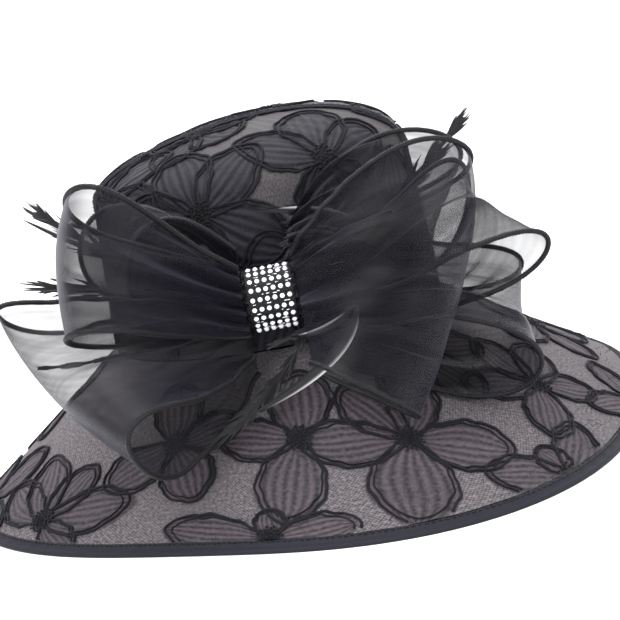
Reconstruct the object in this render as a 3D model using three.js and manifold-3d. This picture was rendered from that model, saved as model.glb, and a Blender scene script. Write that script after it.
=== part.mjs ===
// Wide-brim dress hat: a lace crown and sloping brim, with a large ribbon bow on the front.
// Millimetres, +Z up. The rim rests on z = 0, -Y is the front and the origin is under the middle of the hat.
// The crown stands a little off that middle, at crownAt, and everything is measured from the crown's axis.
import * as THREE from "three";
import { mergeVertices } from "three/addons/utils/BufferGeometryUtils.js";
import Module from "manifold-3d";

const wasm = await Module();
wasm.setup();

// Driving dimensions
const gap = 0.3; // left between pieces that touch
const bowRoom = 0.5; // left round each loop where another is cut clear of it
const lace = 1.6; // wall of the crown and brim, lace over mesh
const crownAt = { x: -5.5, y: -1.9 };
const head = { halfLong: 99.2, halfShort: 86.7, turn: 5.8 }; // oval where crown meets brim, 585 mm round
const crown = { foot: 81.6, wall: 88.4, taper: 0.054, dome: 34.5, lean: 7.2, squareness: 2.07 };
const seamAt = -20; // the crown's two panels meet over the top, on this line in front of its axis
const rimMean = 202.5; // from the crown's axis to the rim
const rimWaves = [
  { waves: 1, swell: 16.6, peak: 15.3 },
  { waves: 2, swell: 8.9, peak: 17.9 },
  { waves: 3, swell: 11.8, peak: 59.8 },
  { waves: 4, swell: 3.8, peak: 27.6 },
];
const brimSag = 1.5; // how far the slope dips below a straight line half way down
const binding = { height: 7.5, wall: 2.4, roll: 1.8, rollUp: 1.6 };

const ribbon = { width: 146, wall: 1.2, cord: 2.6, cordWidth: 3, strandGap: 2.6, pleat: 1.2, pleatPitch: 9 };
const opensBy = 0.6; // share of a loop's swell by which its pleats have opened flat
const knot = { y: -102, z: 114, deep: 13.5, tall: 14.5, half: 15, pleats: 9, pleatDeep: 0.7, flare: 1.08 };
const band = { width: 25, wall: 1.2, columns: 6, rows: 10, columnPitch: 4, sweep: 196 };
const stone = { wide: 3, table: 1.7, tall: 1.3, facets: 8, sunk: 0.25 };
// root: the feather's least width, as a share of its width
const feather = { length: 150, width: 9, spine: 1.4, barb: 0.9, root: 0.12 };

// Each loop leaves the knot, swells out, folds and comes back. Angles are in degrees. It starts aside, ahead
// of and above the knot's middle, in shares of the knot's half sizes; other lengths are shares of the ribbon's
// width. turn, out: where it points in the front view (0 right, 90 up), and how far that swings to the back.
// stand, tip: where its width points in the front view, and how far that leans to the back.
// reach, part, sag, full: its length, how far its strands part, how far it bows sideways, how far its middle
// outruns its edges. wide, pinch: its width at the fold and at the knot. flare: how much more the first edge
// parts than the other. round: how slowly it swells to its full size.
const loops = [
  { name: "loop_upper_left", aside: -0.7, ahead: 0.9, above: -0.1, turn: 157, out: -12.5, stand: 80.5, tip: 21.5,
    reach: 0.715, part: 0.44, sag: 0.195, full: 0.05, wide: 0.49, pinch: 0.22, flare: 0.16, round: 0.61 },
  { name: "loop_lower_left", aside: -0.5, ahead: 0.4, above: -0.2, turn: 201.5, out: -7, stand: 135.5, tip: 43.5,
    reach: 0.735, part: 0.295, sag: 0.22, full: 0.08, wide: 0.915, pinch: 0.15, flare: -0.37, round: 0.48 },
  { name: "loop_back_left", aside: -0.8, ahead: -0.1, above: 0.4, turn: 156.5, out: 14, stand: 152.5, tip: 47.5,
    reach: 0.57, part: 0.355, sag: 0, full: -0.06, wide: 0.305, pinch: 0.16, flare: -0.05, round: 1.1 },
  { name: "loop_upper_right", aside: -0.3, ahead: 0.9, above: -0.2, turn: 13.5, out: -24.5, stand: 64, tip: 27,
    reach: 0.625, part: 0.33, sag: -0.18, full: 0.14, wide: 1.005, pinch: 0.2, flare: 0.07, round: 0.74 },
  { name: "loop_right", aside: 0.8, ahead: 0.4, above: -0.7, turn: 4, out: 8, stand: 136, tip: 54,
    reach: 0.84, part: 0.32, sag: 0.175, full: -0.08, wide: 0.475, pinch: 0.11, flare: 0.3, round: 0.77 },
  { name: "loop_lower_right", aside: 0.4, ahead: 0, above: 0.7, turn: -28.5, out: 8, stand: 70, tip: 67,
    reach: 0.965, part: 0.25, sag: 0.12, full: -0.03, wide: 0.7, pinch: 0.18, flare: -0.3, round: 0.85 },
  { name: "loop_back_right", aside: 0.6, ahead: -0.4, above: 0.7, turn: 40.5, out: -1, stand: 53, tip: 19.5,
    reach: 0.53, part: 0.415, sag: -0.3, full: 0.09, wide: 0.525, pinch: 0.17, flare: -0.17, round: 0.96 },
];

// Each feather bends once, from its stem's direction to its tip's. It starts at shares of the knot's half
// sizes, and stem, blade and wide are shares of the feather's length and width.
const feathers = [
  { name: "feather_far_left", aside: -1.1, ahead: -0.4, above: 0.4, turn: 172, out: 26, stem: 0.43,
    tipTurn: 134, tipOut: 12, blade: 0.49, wide: 0.8 },
  { name: "feather_left", aside: -1.15, ahead: -0.55, above: 0, turn: 170, out: 24, stem: 0.5,
    tipTurn: 168, tipOut: 9, blade: 0.3, wide: 0.8 },
  { name: "feather_right", aside: 1.3, ahead: -0.9, above: 0.5, turn: 12, out: 25, stem: 0.35,
    tipTurn: 42, tipOut: 15, blade: 0.57, wide: 1 },
  { name: "feather_low", aside: 1.4, ahead: 1.15, above: -0.65, turn: 240, out: -10, stem: 0.25,
    tipTurn: 205, tipOut: -20, blade: 0.3, wide: 0.8 },
];

const deg = THREE.MathUtils.degToRad;
const smoothstep = THREE.MathUtils.smoothstep;

// Solids from geometries, and back

function solidOf(geometry) {
  const bare = geometry.clone();
  bare.deleteAttribute("normal");
  bare.deleteAttribute("uv");
  const merged = mergeVertices(bare, 1e-4);
  const vertProperties = new Float32Array(merged.attributes.position.array);
  const triVerts = new Uint32Array(merged.index.array);
  return new wasm.Manifold(new wasm.Mesh({ numProp: 3, vertProperties, triVerts }));
}

function geometryOf(solid) {
  const mesh = solid.getMesh();
  const geometry = new THREE.BufferGeometry();
  geometry.setAttribute("position", new THREE.BufferAttribute(mesh.vertProperties, 3));
  geometry.setIndex(new THREE.BufferAttribute(mesh.triVerts, 1));
  geometry.computeVertexNormals();
  return geometry;
}

// What is left of a solid once the crumbs that a cut leaves loose are dropped.
function largestPart(solid) {
  return solid.decompose().reduce((most, part) => (part.volume() > most.volume() ? part : most));
}

// A closed wall about a middle surface given at whole grid steps. A ring joins its last row to its first.
function clothWall({ rows, columns, ring = false, middle, thickness }) {
  const rowAt = (i) => (ring ? (i + rows) % rows : THREE.MathUtils.clamp(i, 0, rows - 1));
  const columnAt = (j) => THREE.MathUtils.clamp(j, 0, columns - 1);
  const at = (i, j) => middle(rowAt(i), columnAt(j));
  const normalAt = (i, j) => {
    const alongRows = at(i + 1, j).sub(at(i - 1, j));
    return alongRows.cross(at(i, j + 1).sub(at(i, j - 1))).normalize();
  };
  const points = [];
  for (const side of [0.5, -0.5]) {
    for (let i = 0; i < rows; i++) {
      for (let j = 0; j < columns; j++) {
        points.push(...at(i, j).addScaledVector(normalAt(i, j), side * thickness(i, j)));
      }
    }
  }
  const under = rows * columns;
  const index = (i, j) => rowAt(i) * columns + j;
  const faces = [];
  const quad = (a, b, c, d) => faces.push(a, b, c, a, c, d);
  for (let i = 0; i < (ring ? rows : rows - 1); i++) {
    for (let j = 0; j < columns - 1; j++) {
      const [a, b, c, d] = [index(i, j), index(i + 1, j), index(i + 1, j + 1), index(i, j + 1)];
      quad(a, b, c, d);
      quad(under + d, under + c, under + b, under + a);
    }
    const [first, next] = [index(i, 0), index(i + 1, 0)];
    quad(under + first, under + next, next, first);
    const [last, after] = [index(i, columns - 1), index(i + 1, columns - 1)];
    quad(last, after, under + after, under + last);
  }
  for (let j = 0; !ring && j < columns - 1; j++) {
    const [first, next] = [index(0, j), index(0, j + 1)];
    quad(first, next, under + next, under + first);
    const [last, after] = [index(rows - 1, j), index(rows - 1, j + 1)];
    quad(under + last, under + after, after, last);
  }
  const geometry = new THREE.BufferGeometry();
  geometry.setAttribute("position", new THREE.Float32BufferAttribute(points, 3));
  geometry.setIndex(faces);
  geometry.computeVertexNormals();
  return geometry;
}

// Crown

// Half the crown's outline from its foot, up and over to the axis, at an offset from the wall's middle.
function crownProfile(offset) {
  const [wallSteps, domeSteps] = [3, 6];
  const footRadius = (head.halfLong + head.halfShort) / 2 + offset;
  const shoulder = crown.foot + crown.wall;
  const points = [];
  for (let i = 0; i <= wallSteps; i++) {
    const k = i / wallSteps;
    const z = THREE.MathUtils.lerp(crown.foot + gap, shoulder, k);
    points.push(new THREE.Vector2(footRadius * (1 - crown.taper * k), z));
  }
  for (let i = 1; i <= domeSteps; i++) {
    const k = Math.sin((i / domeSteps) * (Math.PI / 2));
    const share = i < domeSteps ? (1 - k ** crown.squareness) ** (1 / crown.squareness) : 0;
    points.push(new THREE.Vector2(footRadius * (1 - crown.taper) * share, shoulder + (crown.dome + offset) * k));
  }
  return points;
}

function crownShell() {
  const profile = [...crownProfile(-lace / 2).reverse(), ...crownProfile(lace / 2)];
  const shell = new THREE.LatheGeometry(profile, 36);
  const meanRadius = (head.halfLong + head.halfShort) / 2;
  shell.rotateX(Math.PI / 2);
  shell.scale(head.halfLong / meanRadius, head.halfShort / meanRadius, 1);
  shell.rotateZ(deg(head.turn));
  const position = shell.attributes.position;
  for (let i = 0; i < position.count; i++) {
    const rise = Math.max(0, (position.getZ(i) - crown.foot - crown.wall) / crown.dome);
    const lean = (crown.lean * rise * position.getX(i)) / head.halfLong;
    position.setZ(i, position.getZ(i) + lean);
  }
  return solidOf(shell);
}

// Brim and its bound edge

function headRadius(angle) {
  const a = angle - deg(head.turn);
  return 1 / Math.hypot(Math.cos(a) / head.halfLong, Math.sin(a) / head.halfShort);
}

function rimRadius(angle) {
  return rimWaves.reduce((r, w) => r + w.swell * Math.cos(w.waves * (angle - deg(w.peak))), rimMean);
}

function polar(angle, radius, z) {
  return new THREE.Vector3(radius * Math.cos(angle), radius * Math.sin(angle), z);
}

// The brim's slope at one angle: its length, and the directions up it and out of it.
function slopeAt(angle) {
  const up = new THREE.Vector2(headRadius(angle) - rimRadius(angle), crown.foot);
  const length = up.length();
  up.normalize();
  return { length, up, out: new THREE.Vector2(up.y, -up.x) };
}

function brimWall() {
  const [rows, columns] = [48, 5];
  const angleOf = (i) => (i / rows) * 2 * Math.PI;
  const middle = (i, j) => {
    const slope = slopeAt(angleOf(i));
    const top = 1 - (lace / 2 + gap) / slope.length;
    const bottom = (binding.height + gap) / slope.length;
    const share = j / (columns - 1);
    const k = THREE.MathUtils.lerp(bottom, top, share);
    const radius = THREE.MathUtils.lerp(rimRadius(angleOf(i)), headRadius(angleOf(i)), k);
    return polar(angleOf(i), radius, crown.foot * k - brimSag * 4 * share * (1 - share));
  };
  return clothWall({ rows, columns, ring: true, middle, thickness: () => lace });
}

// The turned edge in the slope's own directions, up and out: a double fold, then the wire roll at the rim.
function bindingOutline() {
  const outline = [[binding.height, binding.wall / 2], [binding.rollUp * 2, binding.wall / 2]];
  for (const turn of [-10, 35, 80, 120, 155, 190]) {
    outline.push([binding.rollUp - binding.roll * Math.sin(deg(turn)), binding.roll * Math.cos(deg(turn))]);
  }
  outline.push([binding.rollUp * 2, -binding.wall / 2], [binding.height, -binding.wall / 2]);
  return outline;
}

// A closed ring swept through one section for each angle.
function sweptRing(rows, sectionAt) {
  const sections = Array.from({ length: rows }, (unused, i) => sectionAt((i / rows) * 2 * Math.PI));
  const sides = sections[0].length;
  const faces = [];
  for (let i = 0; i < rows; i++) {
    for (let j = 0; j < sides; j++) {
      const [here, next] = [i * sides, ((i + 1) % rows) * sides];
      const after = (j + 1) % sides;
      faces.push(here + j, here + after, next + after, here + j, next + after, next + j);
    }
  }
  const geometry = new THREE.BufferGeometry();
  geometry.setAttribute("position", new THREE.Float32BufferAttribute(sections.flat().flatMap((p) => [...p]), 3));
  geometry.setIndex(faces);
  geometry.computeVertexNormals();
  return geometry;
}

function bindingRing() {
  return sweptRing(48, (angle) => {
    const slope = slopeAt(angle);
    return bindingOutline().map(([up, out]) => {
      const radius = rimRadius(angle) + up * slope.up.x + out * slope.out.x;
      return polar(angle, radius, Math.max(0, up * slope.up.y + out * slope.out.y));
    });
  });
}

// Bow

function direction(turn, back) {
  const [a, b] = [deg(turn), deg(back)];
  return new THREE.Vector3(Math.cos(a) * Math.cos(b), Math.sin(b), Math.sin(a) * Math.cos(b));
}

function halfWidth(loop, s) {
  const size = Math.sin(Math.PI * s) ** (loop.round * 0.9);
  return (ribbon.width / 2) * THREE.MathUtils.lerp(loop.pinch, loop.wide, size);
}

// Where a loop or feather starts, from shares of the knot's half sizes.
function startOf({ aside, ahead, above }) {
  return new THREE.Vector3(knot.half * aside, knot.y - knot.deep * ahead, knot.z + knot.tall * above);
}

// A point of a loop's middle surface: s runs once round the loop, across runs from -1 to 1 over its width.
function loopPoint(loop, s, across) {
  const away = direction(loop.turn, loop.out);
  const width = direction(loop.stand, loop.tip);
  const outward = away.clone().cross(width).normalize();
  outward.multiplyScalar(-Math.sign(outward.y));
  const rise = Math.sin(Math.PI * s);
  const size = rise ** loop.round;
  const opened = smoothstep(rise, 0, opensBy);
  const widthHere = direction(loop.stand, 0).lerp(width, opened).normalize();
  const half = halfWidth(loop, s);
  const reach = ribbon.width * loop.reach * size * (1 + loop.full * (1 - across ** 2) * size);
  const strands = (ribbon.width * loop.part * (1 + loop.flare * across * opened) * Math.sin(2 * Math.PI * s)) / 2;
  const pleat = ribbon.pleat * (1 - opened) * Math.sin((2 * Math.PI * across * half) / ribbon.pleatPitch);
  const folds = strands + ribbon.strandGap * Math.cos(Math.PI * s) + pleat;
  const sideways = folds + ribbon.width * loop.sag * size ** 2;
  return startOf(loop)
    .addScaledVector(away, reach)
    .addScaledVector(outward, sideways)
    .addScaledVector(widthHere, across * half);
}

// The ribbon's grid has narrow columns along both edges for their corded roll.
function ribbonLoop(loop, room) {
  const [rows, middleColumn] = [19, 4];
  const sAt = (i) => 0.5 - 0.5 * Math.cos((Math.PI * i) / (rows - 1));
  const acrossAt = (i, j) => {
    const half = halfWidth(loop, sAt(i));
    const roll = ribbon.cordWidth / half;
    const fromEdge = middleColumn - Math.abs(j - middleColumn);
    const side = Math.sign(j - middleColumn);
    if (fromEdge < 3) return side * (1 + room / half - (roll * fromEdge) / 2);
    return ((1 - roll) * (j - middleColumn)) / (middleColumn - 2);
  };
  const isCord = (j) => middleColumn - Math.abs(j - middleColumn) < 2;
  return clothWall({
    rows,
    columns: 2 * middleColumn + 1,
    middle: (i, j) => loopPoint(loop, sAt(i), acrossAt(i, j)),
    thickness: (i, j) => (isCord(j) ? ribbon.cord : ribbon.wall) + 2 * room,
  });
}

// A feather's blade: widest past its middle, thickest along its spine.
function featherBlade(row) {
  const start = startOf(row);
  const bend = start.clone().addScaledVector(direction(row.turn, row.out), row.stem * feather.length);
  const end = bend.clone().addScaledVector(direction(row.tipTurn, row.tipOut), row.blade * feather.length);
  const spine = new THREE.QuadraticBezierCurve3(start, bend, end);
  const [rows, columns] = [12, 3];
  const front = new THREE.Vector3(0, -1, 0);
  return clothWall({
    rows,
    columns,
    middle: (i, j) => {
      const s = i / (rows - 1);
      const fullness = Math.sin(Math.PI * s ** 1.6) ** 0.8;
      const half = (feather.width / 2) * row.wide * THREE.MathUtils.lerp(feather.root, 1, fullness);
      const side = spine.getTangent(s).cross(front).normalize();
      return spine.getPoint(s).addScaledVector(side, half * (j - 1));
    },
    thickness: (i, j) => (j === 1 ? feather.spine : feather.barb),
  });
}

// The gathered middle: pleats run across it, and it swells where the loops leave it.
function knotBody() {
  const reach = knot.half;
  const neck = band.width / 2 + gap;
  const lip = (reach - neck) / 2;
  const profile = [[0, -reach], [1, -reach], [knot.flare, lip - reach], [1, -neck]];
  profile.push([1, neck], [knot.flare, reach - lip], [1, reach], [0, reach]);
  const body = new THREE.LatheGeometry(profile.map(([r, x]) => new THREE.Vector2(r, x)), 36);
  body.rotateZ(-Math.PI / 2);
  const position = body.attributes.position;
  for (let i = 0; i < position.count; i++) {
    const angle = Math.atan2(position.getZ(i), position.getY(i));
    const pleat = knot.pleatDeep * Math.cos(knot.pleats * angle) * Math.min(1, position.getX(i) ** 2);
    const y = position.getY(i) * (knot.deep + pleat);
    position.setXYZ(i, position.getX(i), y, position.getZ(i) * (knot.tall + pleat));
  }
  return body;
}

// The band's path round the knot's front, and the direction out of it, at an angle up from straight ahead.
function bandAt(angle, x) {
  const clear = knot.pleatDeep + gap + band.wall / 2;
  const ahead = -(knot.deep + clear) * Math.cos(angle);
  return new THREE.Vector3(x, ahead, (knot.tall + clear) * Math.sin(angle));
}

function rhinestoneBand() {
  const [rows, columns] = [19, 2];
  const angleOf = (i) => deg(band.sweep) * (i / (rows - 1) - 0.5);
  const strip = clothWall({
    rows,
    columns,
    middle: (i, j) => bandAt(angleOf(i), band.width * (j / (columns - 1) - 0.5)),
    thickness: () => band.wall,
  });
  let solid = solidOf(strip);
  const up = new THREE.Vector3(0, 1, 0);
  for (let row = 0; row < band.rows; row++) {
    const angle = deg(180) * ((row + 0.5) / band.rows - 0.5);
    const tangent = bandAt(angle + 0.01, 0).sub(bandAt(angle - 0.01, 0));
    const outward = new THREE.Vector3(1, 0, 0).cross(tangent).normalize();
    for (let column = 0; column < band.columns; column++) {
      const x = band.columnPitch * (column - (band.columns - 1) / 2);
      const cut = new THREE.CylinderGeometry(stone.table / 2, stone.wide / 2, stone.tall, stone.facets);
      const centre = bandAt(angle, x).addScaledVector(outward, (band.wall + stone.tall) / 2 - stone.sunk);
      cut.applyQuaternion(new THREE.Quaternion().setFromUnitVectors(up, outward));
      cut.translate(...centre);
      solid = solid.add(solidOf(cut));
    }
  }
  return geometryOf(solid);
}

// The hat

const colours = { lace: 0x54515a, edge: 0x33323c, ribbon: 0x1d1d28, crystal: 0xd8d8e0, feather: 0x101014 };
const hat = new THREE.Group();
const body = new THREE.Group();
body.position.set(crownAt.x, crownAt.y, 0);
hat.add(body);

function addPiece(name, geometry, color, parent = body) {
  const material = new THREE.MeshStandardMaterial({ color, roughness: 0.7, metalness: 0 });
  const mesh = new THREE.Mesh(geometry, material);
  mesh.name = name;
  parent.add(mesh);
}

const shell = crownShell();
addPiece("crown_front", geometryOf(shell.trimByPlane([0, -1, 0], -seamAt + gap / 2)), colours.lace);
addPiece("crown_back", geometryOf(shell.trimByPlane([0, 1, 0], seamAt + gap / 2)), colours.lace);
addPiece("brim", brimWall(), colours.lace);
addPiece("brim_binding", bindingRing(), colours.edge);

const bow = new THREE.Group();
bow.position.set(0, knot.y, knot.z);
body.add(bow);
addPiece("bow_knot", knotBody(), colours.ribbon, bow);
addPiece("rhinestone_band", rhinestoneBand(), colours.crystal, bow);

// A loop in front keeps its whole form, and what lies behind is cut clear of it where they touch.
// A feather's stem ends against the loop that it is tucked under.
const taken = [];
const seats = [];
for (const loop of loops) {
  const side = loop.name.endsWith("left") ? -1 : 1;
  const trimmed = (room) => solidOf(ribbonLoop(loop, room)).trimByPlane([side, 0, 0], knot.half + gap);
  const clear = taken.reduce((solid, other) => solid.subtract(other), trimmed(0));
  addPiece(loop.name, geometryOf(largestPart(clear)), colours.ribbon);
  taken.push(trimmed(bowRoom).add(clear));
  seats.push(trimmed(gap).add(clear));
}
for (const row of feathers) {
  const clear = seats.reduce((solid, other) => solid.subtract(other), solidOf(featherBlade(row)));
  addPiece(row.name, geometryOf(largestPart(clear)), colours.feather);
}

export default hat;
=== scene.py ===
import math

import bpy
import numpy as np
from mathutils import Matrix, Vector


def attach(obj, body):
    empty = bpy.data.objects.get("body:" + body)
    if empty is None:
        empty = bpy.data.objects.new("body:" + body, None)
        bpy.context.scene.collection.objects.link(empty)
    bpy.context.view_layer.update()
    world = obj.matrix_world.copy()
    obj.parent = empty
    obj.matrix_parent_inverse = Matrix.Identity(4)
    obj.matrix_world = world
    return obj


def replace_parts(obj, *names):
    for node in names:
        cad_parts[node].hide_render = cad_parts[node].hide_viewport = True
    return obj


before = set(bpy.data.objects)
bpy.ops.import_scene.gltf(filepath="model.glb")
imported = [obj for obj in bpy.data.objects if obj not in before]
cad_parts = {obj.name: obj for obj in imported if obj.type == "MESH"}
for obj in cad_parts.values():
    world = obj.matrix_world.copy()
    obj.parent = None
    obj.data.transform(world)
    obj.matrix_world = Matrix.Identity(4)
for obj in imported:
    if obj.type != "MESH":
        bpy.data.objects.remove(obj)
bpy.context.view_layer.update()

mm = 0.001  # everything below is in millimetres until a mesh is made
dice = np.random.default_rng(11)

# The hat's own sizes, as the solids have them
crownAt = np.array([-5.5, -1.9, 0.0])  # the crown's axis, from under the middle of the hat
head = {"halfLong": 99.2, "halfShort": 86.7, "turn": 5.8}
crown = {"foot": 81.6, "wall": 88.4, "taper": 0.054, "dome": 34.5, "lean": 7.2, "squareness": 2.07}
seamAt = -20.0
rimMean = 202.5
rimWaves = [(1, 16.6, 15.3), (2, 8.9, 17.9), (3, 11.8, 59.8), (4, 3.8, 27.6)]  # waves, swell, peak
brimSag = 1.5
lace = 1.6
knot = {"y": -102.0, "z": 114.0, "deep": 13.5, "tall": 14.5, "half": 15.0}


def linear(hexColour):
    # sRGB hex to linear RGBA
    parts = [int(hexColour[i:i + 2], 16) / 255 for i in (1, 3, 5)]
    return [p / 12.92 if p <= 0.04045 else ((p + 0.055) / 1.055) ** 2.4 for p in parts] + [1.0]


# Camera at the photo's angle, rolled as the photo is
camera = {
    "elevation": 12.24, "roll": 10.865, "away": 900.0, "lens": 85.1, "sensor": 36.0,
    "target": np.array([18.946, 0.0, 80.522]),
}


def makeCamera():
    lens = bpy.data.cameras.new("photoCamera")
    lens.lens = camera["lens"]
    lens.sensor_width = camera["sensor"]
    holder = bpy.data.objects.new("photoCamera", lens)
    bpy.context.scene.collection.objects.link(holder)
    lift = math.radians(camera["elevation"])
    back = np.array([0, -math.cos(lift), math.sin(lift)])
    place = camera["target"] + crownAt + back * camera["away"]
    right = np.array([1.0, 0, 0])
    up = np.cross(back, right)
    roll = math.radians(camera["roll"])
    rolledRight = math.cos(roll) * right - math.sin(roll) * up
    rolledUp = math.sin(roll) * right + math.cos(roll) * up
    turned = Matrix([[rolledRight[i], rolledUp[i], back[i]] for i in range(3)]).to_4x4()
    holder.matrix_world = Matrix.Translation(Vector(place * mm)) @ turned
    bpy.context.scene.camera = holder


makeCamera()
print("stage: camera set")


# Materials

def addNode(tree, kind, settings=None, inputs=None):
    made = tree.nodes.new(kind)
    for key, value in (settings or {}).items():
        setattr(made, key, value)
    for key, value in (inputs or {}).items():
        if isinstance(value, bpy.types.NodeSocket):
            tree.links.new(value, made.inputs[key])
        else:
            made.inputs[key].default_value = value
    return made


def newMaterial(name, values):
    made = bpy.data.materials.new(name)
    made.use_nodes = True
    shader = made.node_tree.nodes["Principled BSDF"]
    for key, value in values.items():
        shader.inputs[key].default_value = value
    return made, made.node_tree, shader


def waveScale(pitch):
    # scale of a Wave texture whose bands are that many mm apart
    return 2 * math.pi / 20 / (pitch * mm)


def mixColour(tree, share, first, second):
    made = addNode(tree, "ShaderNodeMix", {"data_type": "RGBA"}, {0: share, 6: first, 7: second})
    return made.outputs[2]


def maths(tree, operation, first, second=0.0, clamp=False):
    settings = {"operation": operation, "use_clamp": clamp}
    return addNode(tree, "ShaderNodeMath", settings, {0: first, 1: second}).outputs[0]


laceLooks = {
    "embroideredTulle": {
        "threadPitch": 1.3,  # real tulle has 0.4 mm meshes, drawn coarse so that they show
        "mesh": "#726c6f", "meshThread": "#242229", "petal": "#3a373d", "petalThread": "#141118",
        "plum": "#5c4a55", "core": "#07060b", "pepper": 0.55, "roughness": 0.8,
    },
    "gatheredTulle": {
        "threadPitch": 1.1,
        "mesh": "#585455", "meshThread": "#211f26", "petal": "#1c1d28", "petalThread": "#06060b",
        "plum": "#2a2733", "core": "#040409", "pepper": 0.22, "roughness": 0.6,
    },
}


# How many blotches a metre each kind of unevenness has
laceUneven = {"grain": 620.0, "patch": 28.0, "drift": 240.0, "pepper": 480.0}


def embroideredTulle(name):
    # Polyester tulle with embroidered flowers: a dull grainy mesh, darker satin petals with gathered ribs
    look = laceLooks[name]
    made, tree, shader = newMaterial(name, {
        "Roughness": look["roughness"], "Sheen Weight": 0.03, "Sheen Roughness": 0.5, "Specular IOR Level": 0.18,
    })
    place = addNode(tree, "ShaderNodeUVMap", {"uv_map": "cloth"}).outputs[0]
    petal = addNode(tree, "ShaderNodeAttribute", {"attribute_name": "petal"}).outputs["Fac"]
    rib = addNode(tree, "ShaderNodeAttribute", {"attribute_name": "rib"}).outputs["Fac"]
    core = addNode(tree, "ShaderNodeAttribute", {"attribute_name": "core"}).outputs["Fac"]
    threads = []
    for turn in (40, -50):
        turned = addNode(tree, "ShaderNodeMapping", {}, {0: place, "Rotation": (0, 0, math.radians(turn))})
        bands = addNode(tree, "ShaderNodeTexWave", {}, {
            "Vector": turned.outputs[0], "Scale": waveScale(look["threadPitch"]), "Distortion": 1.2,
            "Detail": 2.0, "Detail Scale": 0.6,
        })
        threads.append(bands.outputs["Fac"])
    weave = maths(tree, "MULTIPLY", threads[0], threads[1])
    grain = addNode(tree, "ShaderNodeTexNoise", {}, {
        "Vector": place, "Scale": laceUneven["grain"], "Detail": 2.0,
    }).outputs[0]
    patch = addNode(tree, "ShaderNodeTexNoise", {}, {
        "Vector": place, "Scale": laceUneven["patch"], "Detail": 3.0,
    }).outputs[0]
    coarse = maths(tree, "POWER", grain, 2.4)
    wovenShare, coarseShare = 0.55, 1.9  # how much of the ground's grain each one gives
    woven = maths(tree, "MULTIPLY", weave, wovenShare)
    speckle = maths(tree, "ADD", woven, maths(tree, "MULTIPLY", coarse, coarseShare), True)
    ground = mixColour(tree, speckle, linear(look["meshThread"]), linear(look["mesh"]))
    drift = addNode(tree, "ShaderNodeTexNoise", {}, {
        "Vector": place, "Scale": laceUneven["drift"], "Detail": 2.0,
    }).outputs[0]
    ribs = maths(tree, "SINE", maths(tree, "ADD", rib, maths(tree, "MULTIPLY", drift, 1.6)))
    ribShare = maths(tree, "MULTIPLY_ADD", ribs, 0.5, True)
    ribShare.node.inputs[2].default_value = 0.5
    uneven = maths(tree, "MULTIPLY", ribShare, maths(tree, "ADD", patch, 0.35), True)
    satin = mixColour(tree, uneven, linear(look["petalThread"]), linear(look["petal"]))
    plumShare = maths(tree, "MULTIPLY", maths(tree, "MULTIPLY", patch, grain), ribShare)
    petalColour = mixColour(tree, plumShare, satin, linear(look["plum"]))
    pepper = addNode(tree, "ShaderNodeTexNoise", {}, {
        "Vector": place, "Scale": laceUneven["pepper"], "Detail": 3.0,
    }).outputs[0]
    showsMesh = maths(tree, "MULTIPLY", maths(tree, "POWER", pepper, 2.0), look["pepper"], True)
    grainy = mixColour(tree, showsMesh, petalColour, linear(look["mesh"]))
    cloth = mixColour(tree, petal, ground, grainy)
    tree.links.new(mixColour(tree, core, cloth, linear(look["core"])), shader.inputs["Base Color"])
    relief = maths(tree, "ADD", maths(tree, "MULTIPLY", speckle, 0.5), maths(tree, "MULTIPLY", ribs, petal))
    bump = addNode(tree, "ShaderNodeBump", {}, {"Height": relief, "Distance": 0.35 * mm, "Strength": 0.7})
    tree.links.new(bump.outputs[0], shader.inputs["Normal"])
    return made


organzaLook = {
    # sheen is the colour of a painted sheen, mixed into the cloth's colour where it is seen at a slant; the share
    # after it says how much
    "colour": "#030307", "fold": "#0d0d16", "sheen": "#5c5b69", "silk": 0.3,
    "oneLayer": 0.43,  # what one layer hides when seen straight on
    "streak": 4.0,  # mm between the soft streaks along the ribbon; its own threads are too fine to show
    "roughness": 0.42,
}


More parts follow.
